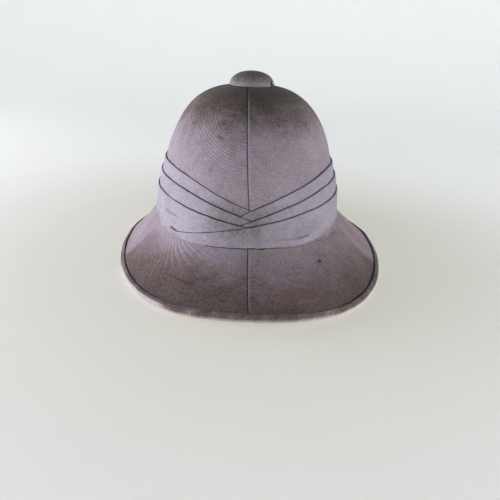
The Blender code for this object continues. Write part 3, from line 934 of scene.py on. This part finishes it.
class Shader:
    """A material under construction."""

    def __init__(self, name, roughness=None, **uniform):
        self.material = bpy.data.materials.new(name)
        self.material.use_nodes = True
        self.tree = self.material.node_tree
        self.surface = self.tree.nodes["Principled BSDF"]
        if roughness is not None:
            self.surface.inputs["Roughness"].default_value = roughness
        for socket, value in uniform.items():
            self.surface.inputs[socket.replace("_", " ")].default_value = value
        self.place = self.tree.nodes.new("ShaderNodeTexCoord").outputs["Object"]
        uv = self.tree.nodes.new("ShaderNodeUVMap")
        uv.uv_map = "cloth"
        self.cloth = uv.outputs["UV"]

    def put(self, socket, value):
        if isinstance(value, bpy.types.NodeSocket):
            self.tree.links.new(value, socket)
        elif isinstance(value, tuple) and socket.type == "RGBA":
            socket.default_value = (*value, 1.0)
        else:
            socket.default_value = value

    def node(self, kind, values=(), **settings):
        node = self.tree.nodes.new("ShaderNode" + kind)
        for name, value in settings.items():
            setattr(node, name, value)
        for number, value in enumerate(values):
            if value is not None:
                self.put(node.inputs[number], value)
        return node

    def math(self, operation, *values, clamp=False):
        return self.node("Math", values, operation=operation, use_clamp=clamp).outputs[0]

    def vector(self, operation, *values):
        return self.node("VectorMath", values, operation=operation).outputs["Vector"]

    def dot(self, *vectors):
        return self.node("VectorMath", vectors, operation="DOT_PRODUCT").outputs["Value"]

    def length(self, vector):
        return self.node("VectorMath", (vector,), operation="LENGTH").outputs["Value"]

    def noise(self, place, scale, detail=2.0, roughness=0.5):
        node = self.node("TexNoise", (place,))
        node.inputs["Scale"].default_value = scale
        node.inputs["Detail"].default_value = detail
        node.inputs["Roughness"].default_value = roughness
        return node.outputs["Fac"]

    def between(self, value, low, high, start=0.0, end=1.0):
        """An S-curve from start, where value is low, to end, where it is high."""
        node = self.node("MapRange", (value, low, high, start, end), interpolation_type="SMOOTHSTEP")
        return node.outputs[0]

    def within(self, value, start, full, fading, end):
        """0 outside start and end, and 1 from full to fading."""
        return self.math("MULTIPLY", self.between(value, start, full),
                         self.between(value, fading, end, 1.0, 0.0))

    def ripple(self, value, wavelength):
        return self.math("SINE", self.math("MULTIPLY", value, TAU / wavelength))

    def blend(self, share, low, high, how="MIX"):
        node = self.node("Mix", data_type="RGBA", blend_type=how)
        self.put(node.inputs[0], share)
        self.put(node.inputs[6], low)
        self.put(node.inputs[7], high)
        return node.outputs[2]

    def finish(self, colour, height=None, distance=0.001):
        self.put(self.surface.inputs["Base Color"], colour)
        if height is not None:
            relief = self.node("Bump")
            relief.inputs["Strength"].default_value = 1.0
            relief.inputs["Distance"].default_value = distance
            self.put(relief.inputs["Height"], height)
            self.put(self.surface.inputs["Normal"], relief.outputs["Normal"])
        return self.material


def marked(shader, colour, start, width, tint, amount, end=None, ragged=0.6, depth=1.0, specks=False):
    """colour with an uneven stroke of tint between two places. depth is how much Y counts."""
    squeeze = (1.0, depth, 1.0)
    along = (np.array(end or start) - np.array(start)) * squeeze
    from_start = shader.vector("MULTIPLY", shader.vector("SUBTRACT", shader.place, start), squeeze)
    length_squared = float(along @ along) or 1.0
    share = shader.math("DIVIDE", shader.dot(from_start, tuple(along)), length_squared, clamp=True)
    foot = shader.vector("SCALE", tuple(along), None, None, share)
    reach = shader.length(shader.vector("SUBTRACT", from_start, foot))
    rough = shader.math("MULTIPLY_ADD", shader.noise(shader.place, 380.0, 4.0, 0.65), 2 * ragged, -ragged)
    mask = shader.between(shader.math("MULTIPLY_ADD", reach, 1 / width, rough), 0.45, 1.25, 1.0, 0.0)
    if specks:
        grains = shader.between(shader.noise(shader.place, 330.0, 4.0, 0.6), 0.46, 0.60)
        mask = shader.math("MULTIPLY", mask, grains)
    return shader.blend(shader.math("MULTIPLY", mask, amount), colour, tint)


DRILL_RIDGE = 0.00082       # from one slanting ridge to the next
DRILL_SLANT = 1.7
DRILL_BEAD = 0.00047
WEAVE_DEPTH = 0.00012
THREAD_STRETCHES = (        # of the noise along and down the cloth, and how much it shades
    ((160.0, 1000.0, 1.0), 0.11),
    ((1000.0, 200.0, 1.0), 0.09),
    ((800.0, 800.0, 1.0), 0.13),
)
YELLOWED = (0.93, 0.86, 0.72)
BLEACHED = (0.90, 0.94, 1.0)
# near-black colour of the painted shade in crevices
CREVICE_SHADE = (0.012, 0.010, 0.014)


def drill(shader):
    """Height of a drill weave, 0 to 1: slanting ridges of thread, each a row of beads."""
    parts = shader.node("SeparateXYZ", (shader.cloth,)).outputs
    drift = shader.math("MULTIPLY", shader.noise(shader.cloth, 160.0, 2.0), 0.0009)
    slanted = shader.math("MULTIPLY_ADD", parts[0], DRILL_SLANT, parts[1])
    ridges = shader.ripple(shader.math("ADD", slanted, drift), DRILL_RIDGE * math.hypot(DRILL_SLANT, 1.0))
    beads = shader.ripple(parts[1], DRILL_BEAD)
    height = shader.math("MULTIPLY_ADD", ridges, 0.32, 0.5)
    return shader.math("MULTIPLY_ADD", beads, 0.13, height)


def worn_cloth_and_shade(name, clean, soiled, marks=(), threads=(), blotches=0.65):
    """Faded drill with thread, blotches, darkening where the mesh says from soil and painted light and
    shade, marks, and painted shade in its crevices.
    """
    shader = Shader(name, roughness=0.86, Sheen_Weight=0.12, Sheen_Roughness=0.45, Specular_IOR_Level=0.2)
    wear = shader.tree.nodes.new("ShaderNodeUVMap")
    wear.uv_map = "wear"
    # the mesh's second pair: distance from a crevice, for painted shade, and darkening from soil and painted
    # light
    crevice, darkening, _ = shader.node("SeparateXYZ", (wear.outputs["UV"],)).outputs
    patch = shader.noise(shader.place, 46.0, 6.0, 0.7)
    share = shader.math("ADD", darkening, shader.math("MULTIPLY_ADD", patch, 2 * blotches, -blotches))
    colour = shader.blend(shader.between(share, 0.0, 1.0), clean, soiled)
    cast = shader.noise(shader.place, 95.0, 4.0, 0.65)
    colour = shader.blend(shader.between(cast, 0.42, 0.68, 0.0, 0.55), colour, YELLOWED, "MULTIPLY")
    colour = shader.blend(shader.between(cast, 0.34, 0.5, 0.45, 0.0), colour, BLEACHED, "MULTIPLY")

    height = drill(shader)
    shades = [shader.between(height, 0.1, 0.9, 0.86, 1.12)]
    for stretch, amount in THREAD_STRETCHES:
        thread = shader.noise(shader.vector("MULTIPLY", shader.cloth, stretch), 1.0, 2.0, 0.6)
        shades.append(shader.between(thread, 0.3, 0.7, 1 - amount, 1 + amount))
    shades.append(shader.between(shader.noise(shader.place, 17.0, 5.0, 0.62), 0.3, 0.7, 0.90, 1.10))
    shades.extend(add_threads(shader) for add_threads in threads)
    speckle = shader.between(shader.noise(shader.place, 420.0, 4.0, 0.7), 0.35, 0.65, -0.24, 0.24)
    shades.append(shader.math("MULTIPLY_ADD", speckle, shader.between(share, 0.0, 0.9), 1.0))
    shades.append(shader.between(share, 0.9, 1.9, 1.0, 0.62))
    for shade in shades:
        colour = shader.vector("SCALE", colour, None, None, shade)

    for mark in marks:
        colour = marked(shader, colour, **mark)
    # Painted shade: near-black close to the crevices that the mesh gives
    uneven = shader.math("MULTIPLY_ADD", shader.noise(shader.cloth, 420.0, 3.0), 0.5, -0.25)
    painted_shade = shader.between(shader.math("ADD", crevice, uneven), 0.2, 0.95, 0.93, 0.0)
    colour = shader.blend(painted_shade, colour, CREVICE_SHADE)
    grain = shader.math("MULTIPLY_ADD", shader.noise(shader.cloth, 2600.0, 2.0), 0.5, height)
    return shader.finish(colour, grain, distance=WEAVE_DEPTH)


ARC_CENTRE = (-0.005, 0.0, 0.157)
ARC_STRETCH = 1.28          # the arcs are this much wider than high
ARC_PITCH = 0.0031
ARC_SHADE = 0.17
FAN_START = (-0.0758, -0.0820, 0.0)
FAN_TURN = -0.123           # how far the middle of the fan points aside, in radians
FAN_PITCH = 0.00266         # between its lines where they start
FAN_REACH = 0.0271          # at which the pitch has doubled
FAN_SHADE = 0.22


def crown_arcs(shader):
    """Threads that show as arcs on the left of the crown, round a point high in front."""
    from_centre = shader.vector("SUBTRACT", shader.place, ARC_CENTRE)
    place = shader.vector("MULTIPLY", from_centre, (1.0, 0.0, ARC_STRETCH))
    across, _, up = shader.node("SeparateXYZ", (place,)).outputs
    reach = shader.length(place)
    drift = shader.math("MULTIPLY_ADD", shader.noise(shader.place, 30.0), 0.004, reach)
    near = shader.math("MULTIPLY", shader.within(reach, 0.020, 0.036, 0.058, 0.078),
                       shader.between(across, -0.020, 0.0, 1.0, 0.0))
    near = shader.math("MULTIPLY", near, shader.between(up, -0.006, 0.008, 1.0, 0.0))
    lines = shader.math("MULTIPLY", shader.ripple(drift, ARC_PITCH), near)
    return shader.math("MULTIPLY_ADD", lines, ARC_SHADE, 1.0)


def brim_fan(shader):
    """Threads that show as lines down the left of the brim: side by side at the band, then spreading."""
    place = shader.vector("SUBTRACT", shader.place, FAN_START)
    cosine, sine = math.cos(FAN_TURN), math.sin(FAN_TURN)
    across = shader.dot(place, (cosine, sine, 0.0))
    forward = shader.dot(place, (sine, -cosine, 0.0))
    run = shader.math("DIVIDE", shader.math("MAXIMUM", forward, 0.0), FAN_REACH)
    spread = shader.math("MULTIPLY_ADD", run, run, 1.0)
    number = shader.math("DIVIDE", shader.math("DIVIDE", across, FAN_PITCH), spread)
    bend = shader.math("MULTIPLY_ADD", shader.noise(shader.place, 34.0), 1.6, number)
    near = shader.math("MULTIPLY", shader.within(forward, -0.020, -0.006, 0.022, 0.042),
                       shader.within(number, -6.0, -3.5, 3.5, 9.0))
    lines = shader.math("MULTIPLY", shader.ripple(bend, 1.0), near)
    return shader.math("MULTIPLY_ADD", lines, FAN_SHADE, 1.0)


def pressed_pith():
    shader = Shader("pith", roughness=0.92, Specular_IOR_Level=0.2)
    grain = shader.noise(shader.vector("MULTIPLY", shader.place, (160.0, 160.0, 420.0)), 1.0, 4.0, 0.6)
    pores = shader.noise(shader.place, 900.0, 2.0)
    colour = shader.blend(shader.between(grain, 0.3, 0.7), (0.47, 0.35, 0.22), (0.60, 0.48, 0.33))
    blotch = shader.between(shader.noise(shader.place, 22.0, 3.0), 0.4, 0.7, 0.0, 0.35)
    colour = shader.blend(blotch, colour, (0.38, 0.27, 0.16))
    colour = shader.blend(shader.between(pores, 0.58, 0.7, 0.0, 0.5), colour, (0.26, 0.18, 0.11))
    return shader.finish(colour, shader.math("ADD", grain, shader.math("MULTIPLY", pores, -0.6)), 0.0005)


def dull_brass():
    shader = Shader("brass", Metallic=1.0)
    patina = shader.noise(shader.place, 240.0, 5.0, 0.6)
    colour = shader.blend(shader.between(patina, 0.4, 0.7), (0.62, 0.46, 0.20), (0.26, 0.19, 0.10))
    shader.put(shader.surface.inputs["Roughness"], shader.between(patina, 0.35, 0.7, 0.28, 0.55))
    return shader.finish(colour, patina, 0.0001)


# Studio

CAMERA_PLACE = (-0.00852, -0.53846, 0.22566)
CAMERA_YAW_DEG = 0.39
CAMERA_DOWN_DEG = 23.25
CAMERA_ROLL_DEG = 2.29
CAMERA_LENS = 37.44         # mm, on a 36 mm wide picture
CAMERA_SHIFT = 0.0096


def add_camera():
    yaw, down, roll = np.radians((CAMERA_YAW_DEG, CAMERA_DOWN_DEG, CAMERA_ROLL_DEG))
    camera = bpy.data.cameras.new("camera")
    camera.lens = CAMERA_LENS
    camera.sensor_width = 36.0
    camera.shift_x = CAMERA_SHIFT
    camera.clip_start = 0.01
    holder = bpy.data.objects.new("camera", camera)
    holder.matrix_world = Matrix.Translation(CAMERA_PLACE)
    for angle, axis in ((-yaw, "Z"), (math.pi / 2 - down, "X"), (roll, "Z")):
        holder.matrix_world = holder.matrix_world @ Matrix.Rotation(angle, 4, axis)
    bpy.context.collection.objects.link(holder)
    bpy.context.scene.camera = holder


LAMP_AIM = (0.0, 0.0, 0.08)
LAMP_SIZE = (1.0, 0.25)
LAMPS = [
    dict(name="left", place=(-1.15, 0.0, 0.16), watts=13.0, colour=(0.985, 0.96, 1.03)),
    dict(name="right", place=(1.11, -0.30, 0.16), watts=4.6, colour=(1.0, 0.96, 0.96)),
]
FLOOR_RINGS = (0.0, 0.3, 0.7, 1.1)      # radii of the flat floor
WALL_RADIUS = 1.9
WALL_BEND = 0.6             # radius of the bend between the floor and the wall
WALL_TOP = 1.5
BACKDROP_COLUMNS = 96
BACKDROP_GLOW = 0.54
GLOW_NEAR, GLOW_FAR = (0.66, 0.65, 0.55), (0.86, 0.89, 0.90)


def add_lamp(name, place, watts, colour):
    lamp = bpy.data.lights.new(name, "AREA")
    lamp.shape = "RECTANGLE"
    lamp.size, lamp.size_y = LAMP_SIZE
    lamp.energy = watts
    lamp.color = colour
    holder = bpy.data.objects.new(name, lamp)
    holder.location = place
    holder.rotation_euler = (Vector(LAMP_AIM) - Vector(place)).to_track_quat("-Z", "Y").to_euler()
    holder.visible_camera = False
    bpy.context.collection.objects.link(holder)


def add_backdrop():
    """A pale floor that curves up into a wall all round."""
    bend = np.linspace(0, math.pi / 2, 14)
    bend_radius = WALL_RADIUS - WALL_BEND + WALL_BEND * np.sin(bend)
    radius = np.concatenate([FLOOR_RINGS, bend_radius, [WALL_RADIUS]])[:, None]
    height = np.concatenate([[0.0] * len(FLOOR_RINGS), WALL_BEND * (1 - np.cos(bend)), [WALL_TOP]])
    turns = all_round(BACKDROP_COLUMNS)
    points = stack(radius * np.sin(turns), radius * np.cos(turns), height[:, None])
    cells = grid_cells(len(radius), BACKDROP_COLUMNS, True)
    numbers = cells[..., 0] * BACKDROP_COLUMNS + cells[..., 1] % BACKDROP_COLUMNS
    mesh = bpy.data.meshes.new("floor")
    mesh.from_pydata(points.reshape(-1, 3).tolist(), [], numbers.tolist())
    weld(mesh)
    shader = Shader("floor", roughness=0.9, Specular_IOR_Level=0.2)
    speck = shader.noise(shader.place, 9.0, 3.0)
    glow = shader.blend(shader.between(shader.length(shader.place), 0.12, 0.52), GLOW_NEAR, GLOW_FAR)
    shader.put(shader.surface.inputs["Emission Color"], glow)
    shader.surface.inputs["Emission Strength"].default_value = BACKDROP_GLOW
    mesh.materials.append(shader.finish(shader.blend(speck, (0.60, 0.60, 0.59), (0.64, 0.64, 0.63))))
    floor = bpy.data.objects.new("floor", mesh)
    bpy.context.collection.objects.link(floor)


def add_lights():
    """Low, soft light from both sides, more of it from the left."""
    for lamp in LAMPS:
        add_lamp(**lamp)
    world = bpy.data.worlds.new("studio")
    world.use_nodes = True
    world.node_tree.nodes["Background"].inputs["Color"].default_value = (0.0, 0.0, 0.0, 1.0)
    bpy.context.scene.world = world
    bpy.context.scene.view_settings.view_transform = "Standard"


# Marks on the cloth, and on the band strokes of painted shade along creases and a pleat's edge. Only their
# depth, a share, of places along Y counts: with little of it a mark is a stroke as seen from the front.
CROWN_MARKS = [
    dict(start=(-0.0305, 0.0, 0.1561), end=(-0.0128, 0.0, 0.1551), width=0.00048, ragged=0.5, depth=0.0,
         tint=(0.245, 0.209, 0.187), amount=0.4),
    dict(start=(-0.032, -0.08, 0.1361), end=(-0.0165, -0.08, 0.1306), width=0.0019, depth=0.3,
         tint=(0.11, 0.075, 0.05), amount=0.55),
    dict(start=(-0.019, -0.09, 0.13), end=(-0.02, -0.09, 0.121), width=0.0034, depth=0.3,
         tint=(0.173, 0.13, 0.094), amount=0.3),
    dict(start=(0.0215, -0.07, 0.149), end=(0.028, -0.0765, 0.1405), width=0.006, ragged=0.8,
         tint=(0.06, 0.048, 0.045), amount=0.55, specks=True),
    dict(start=(0.01, -0.066, 0.153), end=(0.038, -0.059, 0.148), width=0.011,
         tint=(0.105, 0.078, 0.05), amount=0.25, specks=True),
]
BRIM_MARKS = [
    dict(start=(0.0625, -0.1058, 0.0315), end=(0.0633, -0.1046, 0.032), width=0.0018,
         tint=(0.03, 0.025, 0.02), amount=0.9),
    dict(start=(-0.0758, -0.1197, 0.0206), end=(-0.0547, -0.1385, 0.0208), width=0.0015,
         tint=(0.058, 0.047, 0.043), amount=0.5),
    dict(start=(-0.0547, -0.1385, 0.0208), end=(-0.05, -0.14, 0.0208), width=0.0034,
         tint=(0.079, 0.05, 0.036), amount=0.5),
    dict(start=(0.029, -0.153, 0.0195), end=(0.052, -0.143, 0.0195), width=0.007, ragged=0.8,
         tint=(0.18, 0.098, 0.092), amount=0.5),
    dict(start=(-0.038, -0.1537, 0.018), end=(-0.0215, -0.1516, 0.0224), width=0.005, ragged=0.9,
         tint=(0.101, 0.072, 0.054), amount=0.35),
    dict(start=(0.096, -0.016, 0.043), end=(0.115, -0.03, 0.023), width=0.013, ragged=0.8,
         tint=(0.29, 0.165, 0.115), amount=0.4),
]
BAND_MARKS_AND_SHADE = [
    dict(start=(-0.0427, -0.1086, 0.0521), width=0.0013, ragged=0.4, depth=0.3,
         tint=(0.55, 0.53, 0.58), amount=0.7),
    # painted shade along the crease on the right
    dict(start=(0.0194, -0.1, 0.0535), end=(0.04, -0.1, 0.0518), width=0.0017, depth=0.1,
         tint=(0.11, 0.1, 0.12), amount=0.3),
    dict(start=(0.0425, -0.1, 0.0517), end=(0.051, -0.1, 0.0522), width=0.0014, ragged=0.8, depth=0.1,
         tint=(0.085, 0.075, 0.095), amount=0.55),
    # painted shade along the edge of the lowest right pleat's end
    dict(start=(-0.0762, -0.08, 0.0492), end=(-0.0716, -0.08, 0.0483), width=0.0009, ragged=0.3, depth=0.1,
         tint=(0.03, 0.025, 0.032), amount=0.85),
    dict(start=(-0.0716, -0.08, 0.0483), end=(-0.0668, -0.08, 0.0481), width=0.0008, ragged=0.3, depth=0.1,
         tint=(0.03, 0.025, 0.032), amount=0.7),
    # painted shade along the crease on the left
    dict(start=(-0.082, -0.07, 0.0622), end=(-0.0676, -0.07, 0.0617), width=0.0019, depth=0.1,
         tint=(0.11, 0.1, 0.12), amount=0.42),
    dict(start=(-0.067, -0.07, 0.0616), end=(-0.056, -0.07, 0.0613), width=0.0014, depth=0.1,
         tint=(0.11, 0.1, 0.12), amount=0.22),
    dict(start=(0.043, -0.1, 0.056), end=(0.056, -0.09, 0.06), width=0.008, ragged=0.8, depth=0.2,
         tint=(0.17, 0.145, 0.15), amount=0.25),
]

# The darkening numbers blend between clean and soiled colours, for soil and for the painted light and shade
# they carry alike
CROWN_CLEAN, CROWN_SOILED = (0.348, 0.294, 0.352), (0.106, 0.082, 0.068)
BRIM_CLEAN, BRIM_SOILED = (0.345, 0.288, 0.340), (0.146, 0.107, 0.105)
BAND_CLEAN, BAND_SOILED = (0.378, 0.345, 0.425), (0.198, 0.168, 0.175)
TAPE_CLEAN, TAPE_SOILED = (0.560, 0.490, 0.545), (0.134, 0.106, 0.094)
CAP_CLEAN, CAP_SOILED = (0.340, 0.290, 0.305), (0.125, 0.120, 0.108)


add_camera()
add_covers(worn_cloth_and_shade("crown_drill", CROWN_CLEAN, CROWN_SOILED, CROWN_MARKS, [crown_arcs]),
           worn_cloth_and_shade("brim_drill", BRIM_CLEAN, BRIM_SOILED, BRIM_MARKS, [brim_fan], blotches=0.4))
add_shell(pressed_pith())
add_puggaree(worn_cloth_and_shade("puggaree_drill", BAND_CLEAN, BAND_SOILED, BAND_MARKS_AND_SHADE))
add_binding(worn_cloth_and_shade("binding_drill", TAPE_CLEAN, TAPE_SOILED))
add_ventilator(worn_cloth_and_shade("cap_drill", CAP_CLEAN, CAP_SOILED))
brass = dull_brass()
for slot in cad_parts["ventilator_collar"].material_slots:
    slot.material = brass
add_backdrop()
add_lights()
